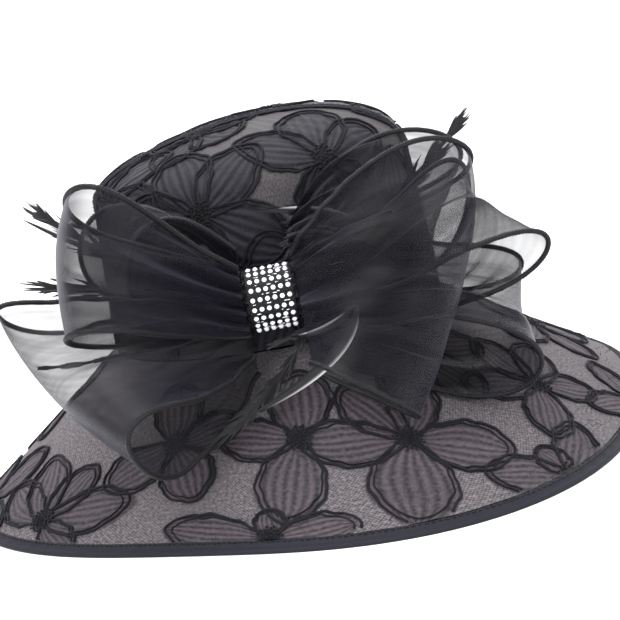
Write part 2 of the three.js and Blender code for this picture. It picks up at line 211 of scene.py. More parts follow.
def organza():
    # Polyester organza, plain woven of fine stiff thread: sheer straight on and dense at a slant; its colour carries
    # a painted sheen, paler where the cloth is seen at a slant
    look = organzaLook
    made, tree, shader = newMaterial("organza", {
        "Roughness": look["roughness"], "Sheen Weight": 0.022, "Sheen Roughness": 0.3,
        "Sheen Tint": linear("#b4b4d0"), "Specular IOR Level": 0.17,
    })
    place = addNode(tree, "ShaderNodeUVMap", {"uv_map": "cloth"}).outputs[0]
    drawn = addNode(tree, "ShaderNodeMapping", {}, {0: place, "Scale": (1.0, 0.07, 1.0)})
    streaks = addNode(tree, "ShaderNodeTexNoise", {}, {
        "Vector": drawn.outputs[0], "Scale": 1 / (look["streak"] * mm), "Detail": 0.0,
    }).outputs[0]
    cloud = addNode(tree, "ShaderNodeTexNoise", {}, {"Vector": place, "Scale": 22.0, "Detail": 4.0}).outputs[0]
    woven = mixColour(tree, streaks, linear(look["colour"]), linear(look["fold"]))
    facing = addNode(tree, "ShaderNodeLayerWeight", {}, {"Blend": 0.5}).outputs["Facing"]
    slant = maths(tree, "POWER", facing, 1.9)
    # painted sheen: the colour is pulled towards the pale sheen colour where the cloth is seen at a slant
    paintedSheen = maths(tree, "MULTIPLY", slant, look["silk"])
    tree.links.new(mixColour(tree, paintedSheen, woven, linear(look["sheen"])), shader.inputs["Base Color"])
    hides = maths(tree, "MULTIPLY_ADD", slant, 1 - look["oneLayer"])
    hides.node.inputs[2].default_value = look["oneLayer"]
    uneven = maths(tree, "MULTIPLY", maths(tree, "SUBTRACT", maths(tree, "ADD", streaks, cloud), 1.0), 0.22)
    seeThrough = maths(tree, "SUBTRACT", 1.0, maths(tree, "ADD", hides, uneven, True))
    layers = addNode(tree, "ShaderNodeAttribute", {"attribute_name": "layers"}).outputs["Fac"]
    gathered = maths(tree, "POWER", maths(tree, "MAXIMUM", seeThrough, 0.001), layers)
    tree.links.new(maths(tree, "SUBTRACT", 1.0, gathered, True), shader.inputs["Alpha"])
    bump = addNode(tree, "ShaderNodeBump", {}, {"Height": streaks, "Distance": 0.3 * mm, "Strength": 0.15})
    tree.links.new(bump.outputs[0], shader.inputs["Normal"])
    return made


def plainThread(name, colour, roughness, pitch, sheen=0.03):
    # Twisted polyester thread: fine slanting strands with a soft shine, their crests painted paler as a painted
    # highlight
    made, tree, shader = newMaterial(name, {
        "Roughness": roughness, "Sheen Weight": sheen, "Sheen Roughness": 0.4, "Specular IOR Level": 0.22,
    })
    place = addNode(tree, "ShaderNodeTexCoord").outputs["Object"]
    strands = addNode(tree, "ShaderNodeTexWave", {"bands_direction": "DIAGONAL"}, {
        "Vector": place, "Scale": waveScale(pitch), "Distortion": 3.0, "Detail": 3.0,
    }).outputs["Fac"]
    # painted highlight: the strands' crests are a paler copy of the thread's colour
    paintedCrestHighlight = [min(1.0, v * 2.4 + 0.002) for v in linear(colour)[:3]] + [1.0]
    tree.links.new(mixColour(tree, strands, linear(colour), paintedCrestHighlight), shader.inputs["Base Color"])
    bump = addNode(tree, "ShaderNodeBump", {}, {"Height": strands, "Distance": 0.2 * mm, "Strength": 0.6})
    tree.links.new(bump.outputs[0], shader.inputs["Normal"])
    return made


def cutGlass():
    # Foil-backed pressed glass: bright mirror facets under a clear coat, with a painted glow: the stones emit light
    # of their own
    made, tree, shader = newMaterial("cutGlass", {
        "Metallic": 0.0, "Roughness": 0.2, "Coat Weight": 1.0, "Coat Roughness": 0.02,
        "Emission Color": linear("#f4f5fa"), "Emission Strength": 0.42,  # painted glow, so the stones shine as if they caught light
    })
    cell = addNode(tree, "ShaderNodeObjectInfo").outputs["Random"]
    place = addNode(tree, "ShaderNodeTexCoord").outputs["Object"]
    shimmer = addNode(tree, "ShaderNodeTexNoise", {}, {"Vector": place, "Scale": 380.0}).outputs[0]
    share = maths(tree, "MULTIPLY", shimmer, maths(tree, "ADD", cell, 0.5))
    tree.links.new(mixColour(tree, share, linear("#ffffff"), linear("#c9ccd6")), shader.inputs["Base Color"])
    return made


def stripFeather():
    # Dyed goose biot: black keratin with a hard, smooth gloss along the barbs, and a painted highlight in pale grey
    # along one edge of each blade
    made, tree, shader = newMaterial("dyedGooseBiot", {
        "Roughness": 0.34, "Specular IOR Level": 0.3,
    })
    place = addNode(tree, "ShaderNodeTexCoord").outputs["Object"]
    streak = addNode(tree, "ShaderNodeTexNoise", {}, {"Vector": place, "Scale": 160.0, "Detail": 3.0}).outputs[0]
    # painted highlight: a pale grey mixed in along the blades' edges
    pale = addNode(tree, "ShaderNodeAttribute", {"attribute_name": "pale"}).outputs["Fac"]
    dyed = mixColour(tree, streak, linear("#030305"), linear("#0e0e14"))
    tree.links.new(mixColour(tree, pale, dyed, linear("#c9c9ce")), shader.inputs["Base Color"])
    bump = addNode(tree, "ShaderNodeBump", {}, {"Height": streak, "Distance": 0.1 * mm})
    tree.links.new(bump.outputs[0], shader.inputs["Normal"])
    return made


materials = {
    "lace": embroideredTulle("embroideredTulle"),
    "crownLace": embroideredTulle("gatheredTulle"),
    "organza": organza(),
    "cord": plainThread("rayonCord", "#08080c", 0.5, 1.1, 0.05),
    "outline": plainThread("chenilleCord", "#0b0a10", 0.85, 0.9),
    "binding": plainThread("foldedPolyesterMesh", "#101018", 0.66, 0.8, 0.04),
    "knotCloth": plainThread("gatheredOrganza", "#050509", 0.5, 1.0, 0.04),
    "glass": cutGlass(),
    "feather": stripFeather(),
}
print("stage: materials made")


# Meshes

def addPiece(name, points, faces, material, slot, uv=None, values=None, smooth=True):
    # a named mesh from points in mm, measured from the crown's axis
    mesh = bpy.data.meshes.new(name)
    placed = (np.asarray(points, float).reshape(-1, 3) + crownAt) * mm
    mesh.from_pydata(placed.tolist(), [], [list(map(int, f)) for f in faces])
    mesh.polygons.foreach_set("use_smooth", [smooth] * len(mesh.polygons))
    if uv is not None:
        layer = mesh.uv_layers.new(name="cloth")
        corners = np.empty(len(mesh.loops), dtype=np.int32)
        mesh.loops.foreach_get("vertex_index", corners)
        layer.data.foreach_set("uv", (np.asarray(uv).reshape(-1, 2)[corners] * mm).ravel())
    for key, value in (values or {}).items():
        mesh.attributes.new(key, "FLOAT", "POINT").data.foreach_set("value", np.asarray(value, float).ravel())
    mesh.materials.append(materials[material])
    mesh.update()
    piece = bpy.data.objects.new(name, mesh)
    bpy.context.scene.collection.objects.link(piece)
    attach(piece, "root")
    return piece


def gridFaces(rows, columns, ring=False, start=0, tube=False):
    i = np.arange(rows if ring else rows - 1)[:, None]
    j = np.arange(columns if tube else columns - 1)[None, :]
    a = i * columns + j
    b = ((i + 1) % rows) * columns + j
    c = ((i + 1) % rows) * columns + (j + 1) % columns
    d = i * columns + (j + 1) % columns
    return (np.stack([a, b, c, d], -1).reshape(-1, 4) + start).tolist()


def join(parts):
    # several (points, faces) as one
    points, faces, start = [], [], 0
    for some, those in parts:
        some = np.asarray(some, float).reshape(-1, 3)
        points.append(some)
        faces += [[v + start for v in face] for face in those]
        start += len(some)
    return np.concatenate(points), faces


def unit(v):
    return v / np.maximum(np.linalg.norm(v, axis=-1, keepdims=True), 1e-9)


def framesAlong(path, ring=False):
    # tangent, side and up at each point, with no sudden turns
    ahead = np.roll(path, -1, 0) - np.roll(path, 1, 0)
    if not ring:
        ahead[0] = path[1] - path[0]
        ahead[-1] = path[-1] - path[-2]
    ahead = unit(ahead)
    side = np.cross(ahead[0], [0.3, 0.2, 1.0])
    sides = []
    for t in ahead:
        side = side - t * np.dot(side, t)
        side = side / max(np.linalg.norm(side), 1e-9)
        sides.append(side)
    sides = np.array(sides)
    return ahead, sides, np.cross(ahead, sides)


def rope(path, radius, pitch=0.0, strands=2, sides=8, ring=False, taper=0.0):
    # a tube along a path, ridged like a twisted cord where it has a pitch
    path = np.asarray(path, float)
    ahead, side, up = framesAlong(path, ring)
    run = np.concatenate([[0], np.cumsum(np.linalg.norm(np.diff(path, axis=0), axis=1))])
    around = np.linspace(0, 2 * np.pi, sides, endpoint=False)
    turn = 2 * np.pi * run / pitch if pitch else 0 * run
    ridges = 1 + (0.26 if pitch else 0) * np.cos(strands * (around[None] - turn[:, None]))
    size = radius * ridges * (1 - taper * (run / max(run[-1], 1e-9))[:, None])
    points = path[:, None] + size[..., None] * (
        np.cos(around)[None, :, None] * side[:, None] + np.sin(around)[None, :, None] * up[:, None])
    faces = gridFaces(len(path), sides, ring=ring, tube=True)
    if not ring:
        faces += [list(range(sides)), [(len(path) - 1) * sides + k for k in reversed(range(sides))]]
    return points.reshape(-1, 3), faces


def evenPath(path, step):
    # the same path with points that many mm apart
    path = np.asarray(path, float)
    run = np.concatenate([[0], np.cumsum(np.linalg.norm(np.diff(path, axis=0), axis=1))])
    want = np.linspace(0, run[-1], max(3, int(run[-1] / step)))
    return np.stack([np.interp(want, run, path[:, k]) for k in range(3)], -1)


# Surfaces of the crown and brim

def headRadius(angle):
    a = angle - math.radians(head["turn"])
    return 1 / np.hypot(np.cos(a) / head["halfLong"], np.sin(a) / head["halfShort"])


def rimRadius(angle):
    return rimMean + sum(swell * np.cos(n * (angle - math.radians(peak))) for n, swell, peak in rimWaves)


def crownOutline():
    # height along the wall from its foot, share of the foot's radius, and height above the table
    k = np.linspace(0, 1, 60)
    share = list(1 - crown["taper"] * k)
    z = list(crown["foot"] + crown["wall"] * k)
    bend = np.linspace(0, math.pi / 2, 120)[1:]
    u = np.sin(bend)
    around = np.maximum(0, 1 - u ** crown["squareness"]) ** (1 / crown["squareness"])
    share += list((1 - crown["taper"]) * around)
    z += list(crown["foot"] + crown["wall"] + crown["dome"] * u)
    share, z = np.array(share), np.array(z)
    radius = (head["halfLong"] + head["halfShort"]) / 2
    run = np.concatenate([[0], np.cumsum(np.hypot(np.diff(share) * radius, np.diff(z)))])
    return run, share, z


crownRun, crownShare, crownHeight = crownOutline()


def crownPoint(angle, run, proud=0.0):
    # a point of the crown's outside, run mm up the wall and over the dome
    angle, run = np.broadcast_arrays(np.asarray(angle, float), np.asarray(run, float))
    share = np.interp(run, crownRun, crownShare)
    z = np.interp(run, crownRun, crownHeight)
    lift = np.clip((z - crown["foot"] - crown["wall"]) / crown["dome"], 0, 1)
    out = np.sqrt(np.maximum(0, 1 - lift ** 2))
    radius = headRadius(angle) * share + (lace / 2 + proud) * out
    x = radius * np.cos(angle)
    return np.stack([x, radius * np.sin(angle), z + crown["lean"] * lift * x / head["halfLong"]
                     + (lace / 2 + proud) * lift], -1)


slopeRun = 137.0  # the brim's mean length down its slope
brimEnds = (0.058, 0.99)  # shares of the slope where the cloth leaves the binding and meets the crown


def brimPoint(angle, run, proud=0.0):
    # a point of the brim's outside, run mm up the slope from the rim
    angle, run = np.broadcast_arrays(np.asarray(angle, float), np.asarray(run, float))
    k = run / slopeRun
    share = np.clip((k - brimEnds[0]) / (brimEnds[1] - brimEnds[0]), 0, 1)
    inner, outer = headRadius(angle), rimRadius(angle)
    length = np.hypot(outer - inner, crown["foot"])
    out = (lace / 2 + proud)
    radius = outer + (inner - outer) * k + out * crown["foot"] / length
    z = crown["foot"] * k - brimSag * 4 * share * (1 - share) + out * (outer - inner) / length
    return np.stack([radius * np.cos(angle), radius * np.sin(angle), z], -1)


# Flowers of the embroidery: where the middle is, and each petal's turn from level, length and width.
# On the brim, up is the share of the slope above the rim, and on the crown it is mm up the wall.
def petals(first, count, length, width):
    # a plain flower's petals, evenly round it
    uneven = 0.07  # petals differ this much in length
    return [(first + 360 * i / count, length * (1 + uneven * math.sin(3 * i + first)), width)
            for i in range(count)]


brimFlowers = [
    {"angle": -68.8, "up": 0.43, "petals": [(170, 57, 32), (-29, 55, 33), (-113, 57, 43),
                                        (112, 46, 30), (56, 45, 28)]},
    {"angle": -89.7, "up": 0.53, "petals": [(174, 47, 30), (-107, 57, 38), (83, 46, 36)]},
    {"angle": -33.3, "up": 0.42, "petals": [(-40, 44, 26), (-142, 50, 26), (150, 46, 28),
                                        (84, 44, 30), (22, 46, 30)]},
    {"angle": -97.5, "up": 0.06, "petals": [(171, 62, 26), (6, 46, 24), (88, 20, 18)]},
    {"angle": -146.0, "up": 0.16, "petals": [(123, 50, 32), (17, 56, 34), (-30, 40, 20),
                                        (70, 44, 26), (165, 50, 30)]},
    {"angle": -121.0, "up": 0.56, "petals": [(-60, 46, 32), (-140, 48, 30), (100, 44, 30), (20, 40, 26)]},
    {"angle": -50.0, "up": 0.03, "petals": [(150, 44, 28), (30, 46, 28), (88, 24, 20)]},
    {"angle": -18.0, "up": 0.04, "petals": [(150, 44, 26), (40, 46, 26)]},
    {"angle": -50.0, "up": 0.8, "petals": [(-80, 44, 28), (-150, 44, 28), (-20, 44, 26)]},
    {"angle": 5.0, "up": 0.52, "petals": petals(20, 5, 52, 32)},
    {"angle": 31.0, "up": 0.1, "petals": petals(40, 4, 50, 30)},
    {"angle": 41.0, "up": 0.6, "petals": petals(80, 5, 54, 33)},
    {"angle": 68.0, "up": 0.2, "petals": petals(10, 5, 52, 32)},
    {"angle": 88.0, "up": 0.66, "petals": petals(60, 5, 50, 32)},
    {"angle": 105.0, "up": 0.14, "petals": petals(30, 4, 50, 30)},
    {"angle": 128.0, "up": 0.55, "petals": petals(100, 5, 54, 34)},
    {"angle": 152.0, "up": 0.14, "petals": petals(0, 5, 50, 30)},
    {"angle": 171.0, "up": 0.62, "petals": petals(50, 5, 52, 32)},
    {"angle": 191.0, "up": 0.12, "petals": petals(70, 4, 50, 30)},
]
crownFlowers = [
    {"angle": -110.4, "up": 80, "petals": [(112, 48, 36), (50, 50, 36), (-32, 54, 40),
                                        (-97, 48, 38), (186, 48, 40)]},
    {"angle": -59.2, "up": 97, "petals": [(146, 48, 34), (74, 48, 40), (8, 44, 36),
                                        (-62, 46, 34), (-112, 40, 30)]},
    {"angle": -155.0, "up": 92, "petals": petals(60, 5, 46, 36)},
    {"angle": -150.0, "up": 34, "petals": petals(20, 5, 48, 36)},
    {"angle": -84.0, "up": 24, "petals": petals(100, 5, 44, 34)},
    {"angle": -26.0, "up": 48, "petals": petals(20, 5, 48, 36)},
    {"angle": 12.0, "up": 96, "petals": petals(80, 5, 46, 36)},
    {"angle": 32.0, "up": 24, "petals": petals(40, 5, 46, 34)},
    {"angle": 62.0, "up": 78, "petals": petals(0, 5, 48, 36)},
    {"angle": 92.0, "up": 26, "petals": petals(70, 5, 48, 34)},
    {"angle": 122.0, "up": 84, "petals": petals(30, 5, 48, 36)},
    {"angle": 152.0, "up": 30, "petals": petals(10, 5, 48, 34)},
    {"angle": 182.0, "up": 88, "petals": petals(60, 5, 46, 36)},
    {"angle": 60.0, "up": 150, "petals": petals(20, 5, 36, 30)},
    {"angle": 230.0, "up": 150, "petals": petals(50, 5, 36, 30)},
]
for flower in brimFlowers:
    flower["run"] = flower["up"] * slopeRun
for flower in crownFlowers:
    flower["run"] = flower["up"]


def petalHalf(x):
    # half the width of a petal, in shares of its width, along its length from 0 to 1
    return 0.5 * np.sin(np.pi * np.clip(x, 0, 1) ** 1.2) ** 0.62


def radiusAt(points):
    return np.hypot(points[..., 0], points[..., 1])


def embroidery(angle, run, radius, flowers):
    # for each point of the cloth: in a petal, rib across it, in a flower's middle, and how far it stands up
    petal = np.zeros(angle.shape)
    rib = np.zeros(angle.shape)
    core = np.zeros(angle.shape)
    lift = np.zeros(angle.shape)
    for flower in flowers:
        swing = (angle - math.radians(flower["angle"]) + math.pi) % (2 * math.pi) - math.pi
        right = swing * radius
        up = run - flower["run"]
        near = np.hypot(right, up)
        core = np.maximum(core, np.exp(-(near / 7.5) ** 4))
        for turn, length, width in flower["petals"]:
            a = math.radians(turn)
            along = (right * math.cos(a) + up * math.sin(a)) / length
            across = -right * math.sin(a) + up * math.cos(a)
            half = petalHalf(along) * width
            inside = np.clip((half - np.abs(across)) / 0.8 + 0.5, 0, 1) * ((along > 0) & (along < 1))
            share = across / np.maximum(half, 0.5)
            hit = inside > petal
            rib = np.where(hit, share * 21 + 1.5 * np.sin(along * 5 + turn), rib)
            gathers = np.sin(share * 13 + 2 * np.sin(along * 4 + turn)) * (1 - 0.65 * np.clip(along, 0, 1))
            lift = np.where(hit, inside * (0.35 + 0.4 * gathers), lift)
            petal = np.maximum(petal, inside)
    return petal, rib, core, lift + 1.1 * core


def petalOutline(surface, flower, turn, length, width, proud):
    # the cord round one petal, as a path on the cloth
    x = np.concatenate([np.linspace(0.02, 1, 40) ** 0.9, np.linspace(1, 0.02, 40) ** 0.9])
    sign = np.concatenate([np.ones(40), -np.ones(40)])
    wobble = 0.5 * np.sin(x * 23 + turn) + 0.3 * np.sin(x * 41 + 2 * turn)
    across = sign * (petalHalf(x) * width + wobble * np.minimum(1, petalHalf(x) * 4))
    a = math.radians(turn)
    right = x * length * math.cos(a) - across * math.sin(a)
    up = x * length * math.sin(a) + across * math.cos(a)
    run = flower["run"] + up
    angle = math.radians(flower["angle"])
    radius = np.maximum(radiusAt(surface(angle, run)), 12)
    return surface(angle + right / radius, run, proud), run


def clothPanel(surface, flowers, angles, runs, keep=None):
    # points, faces, uv and values of a piece of embroidered cloth
    angle, run = np.meshgrid(angles, runs, indexing="ij")
    flat = surface(angle, run)
    petal, rib, core, lift = embroidery(angle, run, radiusAt(flat), flowers)
    crumple = 0.35 * np.sin(angle * 31 + run * 0.21) * np.sin(run * 0.17 + angle * 9)
    points = surface(angle, run, lift + crumple - 0.3)
    uv = np.stack([angle * 140, run], -1)
    faces = gridFaces(len(angles), len(runs))
    if keep:
        middle = points.reshape(-1, 3)[np.asarray(faces)].mean(1)
        faces = [face for face, good in zip(faces, keep(middle)) if good]
    used = sorted({v for face in faces for v in face})
    place = {v: i for i, v in enumerate(used)}
    faces = [[place[v] for v in face] for face in faces]
    pick = lambda values: np.asarray(values).reshape(len(angles) * len(runs), -1)[used]
    values = {"petal": pick(petal), "rib": pick(rib), "core": pick(core)}
    return pick(points), faces, pick(uv), values


def outlineCords(surface, flowers, lowest, highest, keep=None):
    # the raised cords round the petals and the veins inside them
    parts = []
    for flower in flowers:
        for turn, length, width in flower["petals"]:
            for size, thick, proud in ((1.0, 0.75, 0.7), (0.93, 0.5, 0.6)):
                path, run = petalOutline(surface, flower, turn, length * size, width * size ** 2, proud)
                good = (run > lowest) & (run < highest)
                if keep:
                    good &= keep(path)
                start = None
                for i in range(len(path) + 1):
                    if i < len(path) and good[i]:
                        start = i if start is None else start
                    elif start is not None:
                        if i - start > 3:
                            parts.append(rope(evenPath(path[start:i], 1.6), thick, pitch=3.2, sides=6))
                        start = None
    return parts


def knots(surface, flowers, lowest, highest, keep=None):
    # the beaded middles of the flowers
    bead = [(0, 0, 1), (1, 0, 0), (0, 1, 0), (-1, 0, 0), (0, -1, 0), (0, 0, -1)]
    sides = [[0, 1, 2], [0, 2, 3], [0, 3, 4], [0, 4, 1], [5, 2, 1], [5, 3, 2], [5, 4, 3], [5, 1, 4]]
    parts = []
    for flower in flowers:
        for i in range(46):
            far = 8.5 * math.sqrt((i + 0.5) / 46)
            turn = i * 2.39996
            run = flower["run"] + far * math.sin(turn)
            angle = math.radians(flower["angle"]) + far * math.cos(turn) / max(radiusAt(surface(0.0, run)), 12)
            middle = surface(angle, run, 1.3)
            if lowest < run < highest and (keep is None or keep(middle[None])[0]):
                size = dice.uniform(0.7, 1.15)
                parts.append((middle + size * np.array(bead), sides))
    return parts


# Crown and brim cloth
crownTop = crownRun[-1]
seamHalf = 1.2
panels = [
    ("crownFrontCloth", "crown_front", lambda p: p[:, 1] < seamAt),
    ("crownBackCloth", "crown_back", lambda p: p[:, 1] > seamAt),
]
crownAngles = np.linspace(math.pi / 2, math.pi * 5 / 2, 421)
crownRuns = np.linspace(0.4, crownTop - 1, 124)
for name, node, keep in panels:
    points, faces, uv, values = clothPanel(crownPoint, crownFlowers, crownAngles, crownRuns, keep)
    piece = addPiece(name, points, faces, "crownLace", "lace", uv, values)
    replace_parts(piece, node)

brimAngles = np.linspace(math.pi / 2, math.pi * 5 / 2, 681)
brimRuns = np.linspace(brimEnds[0] * slopeRun, brimEnds[1] * slopeRun, 96)
points, faces, uv, values = clothPanel(brimPoint, brimFlowers, brimAngles, brimRuns)
brimCloth = addPiece("brimCloth", points, faces, "lace", "lace", uv, values)
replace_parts(brimCloth, "brim")

onBrim = (brimEnds[0] * slopeRun + 1, slopeRun * brimEnds[1] - 2)
cords = join(outlineCords(brimPoint, brimFlowers, *onBrim) + knots(brimPoint, brimFlowers, *onBrim))
addPiece("brimEmbroidery", *cords, "outline", "lace")
onCrown = (1.5, crownTop - 4)
awayFromSeam = lambda p: np.abs(p[..., 1] - seamAt) > seamHalf + 1
cords = join(outlineCords(crownPoint, crownFlowers, *onCrown, awayFromSeam)
             + knots(crownPoint, crownFlowers, *onCrown, awayFromSeam))
addPiece("crownEmbroidery", *cords, "outline", "lace")
print("stage: crown and brim cloth")


# Seam over the crown, where its two panels are sewn
def seamPath(offset):
    angle = np.linspace(math.pi, 2 * math.pi, 3001)
    spots = []
    for a in angle:
        if abs(math.sin(a)) < 0.12:
            continue
        want = abs((seamAt + offset) / math.sin(a))
        full = radiusAt(crownPoint(a, crownRun))
        if want < full[0]:
            spots.append(crownPoint(a, float(np.interp(-want, -full, crownRun)), 0.9))
    return np.array(spots)


seam = seamPath(0.0)
addPiece("crownSeam", *join([rope(evenPath(seam, 1.2), 1.3, pitch=4.0, sides=8)]
                            + [rope(evenPath(seamPath(side), 1.2), 0.8, pitch=3.0, sides=6) for side in (-2, 2)]),
         "binding", "edge")


# Bound edge of the brim
binding = {"height": 7.5, "wall": 2.4, "roll": 1.8, "rollUp": 1.6, "stitchPitch": 3.4, "stitchUp": 6.2}


def bindingPoint(angle, up, out):
    # a point near the rim, in the slope's own directions
    inner, outer = headRadius(angle), rimRadius(angle)
    length = np.hypot(outer - inner, crown["foot"])
    upX, upZ = (inner - outer) / length, crown["foot"] / length
    radius = outer + up * upX + out * upZ
    z = np.maximum(0.02, up * upZ - out * upX)
    return np.stack([radius * np.cos(angle), radius * np.sin(angle), z], -1)


def bindingRing():
    half = binding["wall"] / 2
    outline = [(binding["height"], 0.0), (binding["height"] + 0.1, half * 0.7), (binding["height"] - 0.5, half)]
    outline += [(5.6, half + 0.15), (4.6, half - 0.1), (binding["rollUp"] * 2, half)]
    for turn in (-20, 10, 40, 70, 100, 130, 160, 190):
        t = math.radians(turn)
        outline.append((binding["rollUp"] - binding["roll"] * math.sin(t), binding["roll"] * math.cos(t)))
    outline += [(binding["rollUp"] * 2, -half), (binding["height"], -half)]
    angle = np.linspace(0, 2 * math.pi, 720, endpoint=False)[:, None]
    up = np.array([u for u, o in outline])[None]
    out = np.array([o for u, o in outline])[None]
    pucker = 0.14 * np.sin(angle * 2 * math.pi * 200 / binding["stitchPitch"] / math.pi) * (up > 3)
    points = bindingPoint(angle, up, out + np.sign(out) * pucker)
    return points, gridFaces(len(angle), len(outline), ring=True, tube=True)


points, faces = bindingRing()
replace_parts(addPiece("brimBinding", points, faces, "binding", "edge"), "brim_binding")


def bindingStitches():
    count = int(2 * math.pi * rimMean / binding["stitchPitch"])
    parts = []
    for i in range(count):
        a = 2 * math.pi * i / count
        b = a + 0.62 * 2 * math.pi / count
        lift = binding["wall"] / 2 + 0.18
        path = [bindingPoint(a + (b - a) * t, binding["stitchUp"], lift + 0.25 * math.sin(math.pi * t))
                for t in (0, 0.5, 1)]
        parts.append(rope(path, 0.28, sides=5))
    return join(parts)


addPiece("bindingStitches", *bindingStitches(), "outline", "edge")
print("stage: edge and seam")


# Bow: seven loops of one ribbon. Lengths are shares of the ribbon's width, as in the solids.
ribbon = {"width": 146.0, "cord": 1.35, "twist": 3.6, "strandGap": 2.6, "pleat": 1.2, "pleatPitch": 9.0,
          "foldNear": 3.6, "foldFar": 1.7,
          "tuck": 1.0}  # how far the loops reach into the knot's ends
loopKeys = "aside ahead above turn out stand tip reach part sag full wide pinch flare round".split()
loopRows = {
    "loop_upper_left": (-0.7, 0.9, -0.1, 157, -12.5, 80.5, 21.5, 0.715, 0.44, 0.195, 0.05, 0.49, 0.22, 0.16, 0.61),
    "loop_lower_left": (-0.5, 0.4, -0.2, 201.5, -7, 135.5, 43.5, 0.735, 0.295, 0.22, 0.08, 0.915, 0.15, -0.37, 0.48),
    "loop_back_left": (-0.8, -0.1, 0.4, 156.5, 14, 152.5, 47.5, 0.57, 0.355, 0, -0.06, 0.305, 0.16, -0.05, 1.1),
    "loop_upper_right": (-0.3, 0.9, -0.2, 13.5, -24.5, 64, 27, 0.625, 0.33, -0.18, 0.14, 1.005, 0.2, 0.07, 0.74),
    "loop_right": (0.8, 0.4, -0.7, 4, 8, 136, 54, 0.84, 0.32, 0.175, -0.08, 0.475, 0.11, 0.3, 0.77),
    "loop_lower_right": (0.4, 0, 0.7, -28.5, 8, 70, 67, 0.965, 0.25, 0.12, -0.03, 0.7, 0.18, -0.3, 0.85),
    "loop_back_right": (0.6, -0.4, 0.7, 40.5, -1, 53, 19.5, 0.53, 0.415, -0.3, 0.09, 0.525, 0.17, -0.17, 0.96),
}


def direction(turn, back):
    a, b = math.radians(turn), math.radians(back)
    return np.array([math.cos(a) * math.cos(b), math.sin(b), math.sin(a) * math.cos(b)])


def startOf(aside, ahead, above):
    return np.array([knot["half"] * aside, knot["y"] - knot["deep"] * ahead, knot["z"] + knot["tall"] * above])


def loopPoint(row, s, across, phase):
    # a point of a loop: s runs once round it, across from -1 to 1 over the ribbon's width
    s, across = np.broadcast_arrays(np.asarray(s, float), np.asarray(across, float))
    away, width = direction(row["turn"], row["out"]), direction(row["stand"], row["tip"])
    outward = unit(np.cross(away, width))
    outward = -np.sign(outward[1]) * outward
    rise = np.maximum(np.sin(np.pi * s), 1e-6)
    size = rise ** row["round"]
    t = np.clip(rise / 0.6, 0, 1)
    opened = t * t * (3 - 2 * t)
    here = unit((1 - opened)[..., None] * direction(row["stand"], 0) + opened[..., None] * width)
    half = ribbon["width"] / 2 * (row["pinch"] + (row["wide"] - row["pinch"]) * size ** 0.9)
    reach = ribbon["width"] * row["reach"] * size * (1 + row["full"] * (1 - across ** 2) * size)
    strands = ribbon["width"] * row["part"] * (1 + row["flare"] * across * opened) * np.sin(2 * np.pi * s) / 2
    pleat = ribbon["pleat"] * (1 - opened) * np.sin(2 * np.pi * across * half / ribbon["pleatPitch"])
    fade = (1 - size) ** 0.6
    # gathers fold sharply where the cloth is pulled in
    ridges = 1.3 - 2 * np.abs(np.sin(4.2 * across + phase)) ** 1.3
    folds = ribbon["foldNear"] * fade * ridges * np.clip(rise * 6, 0, 1)
    folds = folds + ribbon["foldNear"] * 0.6 * fade * np.sin(13.1 * across + 2.3 * phase + 2 * s)
    folds = folds + ribbon["foldFar"] * opened * np.sin(4.1 * across + 6 * s + phase)
    sideways = (strands + ribbon["strandGap"] * np.cos(np.pi * s) + ribbon["width"] * row["sag"] * size ** 2
                + pleat + folds)
    start = startOf(row["aside"], row["ahead"], row["above"])
    return (start + away * reach[..., None] + outward * sideways[..., None]
            + here * (across * half)[..., None])


for number, (name, shares) in enumerate(loopRows.items()):
    row = dict(zip(loopKeys, shares))
    side = -1 if name.endswith("left") else 1
    s = 0.5 - 0.5 * np.cos(np.linspace(0, np.pi, 190))
    across = np.linspace(-1, 1, 72)
    points = loopPoint(row, s[:, None], across[None], number * 1.7)
    run = np.concatenate([[0], np.cumsum(np.linalg.norm(np.diff(points[:, 36], axis=0), axis=1))])
    uv = np.stack(np.broadcast_arrays(across[None] * ribbon["width"] * row["wide"] / 2, run[:, None]), -1)
    faces = np.asarray(gridFaces(len(s), len(across)))
    outside = (side * points.reshape(-1, 3)[faces, 0]).min(1)
    faces = faces[outside > knot["half"] - ribbon["tuck"]].tolist()
    camel = "".join(word.capitalize() for word in name.split("_"))
    size = np.sin(np.pi * s) ** row["round"]
    wide = row["pinch"] + (row["wide"] - row["pinch"]) * size ** 0.9
    layers = np.broadcast_to(np.clip(0.45 + 0.55 / wide, 1, 7)[:, None], (len(s), len(across)))
    sheet = addPiece(camel[0].lower() + camel[1:], points, faces, "organza", "ribbon", uv, {"layers": layers})
    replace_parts(sheet, name)
    edges = []
    for edge in (-1, 1):
        path = evenPath(loopPoint(row, s, edge, number * 1.7), 0.8)
        path = path[side * path[:, 0] > knot["half"] - ribbon["tuck"]]
        edges.append(rope(path, ribbon["cord"], ribbon["twist"], sides=10))
    hem = addPiece(camel[0].lower() + camel[1:] + "Cords", *join(edges), "cord", "ribbon")
print("stage: loops")


# Knot with its gathers
def knotCloth():
    x = np.linspace(-1, 1, 90)
    turn = np.linspace(0, 2 * np.pi, 260, endpoint=False)
    x, turn = np.meshgrid(x, turn, indexing="ij")
    swell = 1 + 0.08 * np.abs(x) ** 3
    pleat = 0.75 * np.sin(17 * turn + 1.4 * np.sin(3 * x)) + 0.35 * np.sin(29 * turn + 2 * x)
    close = np.clip((1 - np.abs(x)) / 0.06, 0, 1) ** 0.5
    deep = (knot["deep"] * swell + pleat) * close
    tall = (knot["tall"] * swell + pleat) * close
    points = np.stack([x * knot["half"], knot["y"] - deep * np.cos(turn), knot["z"] + tall * np.sin(turn)], -1)
    return points, gridFaces(90, 260, tube=True)


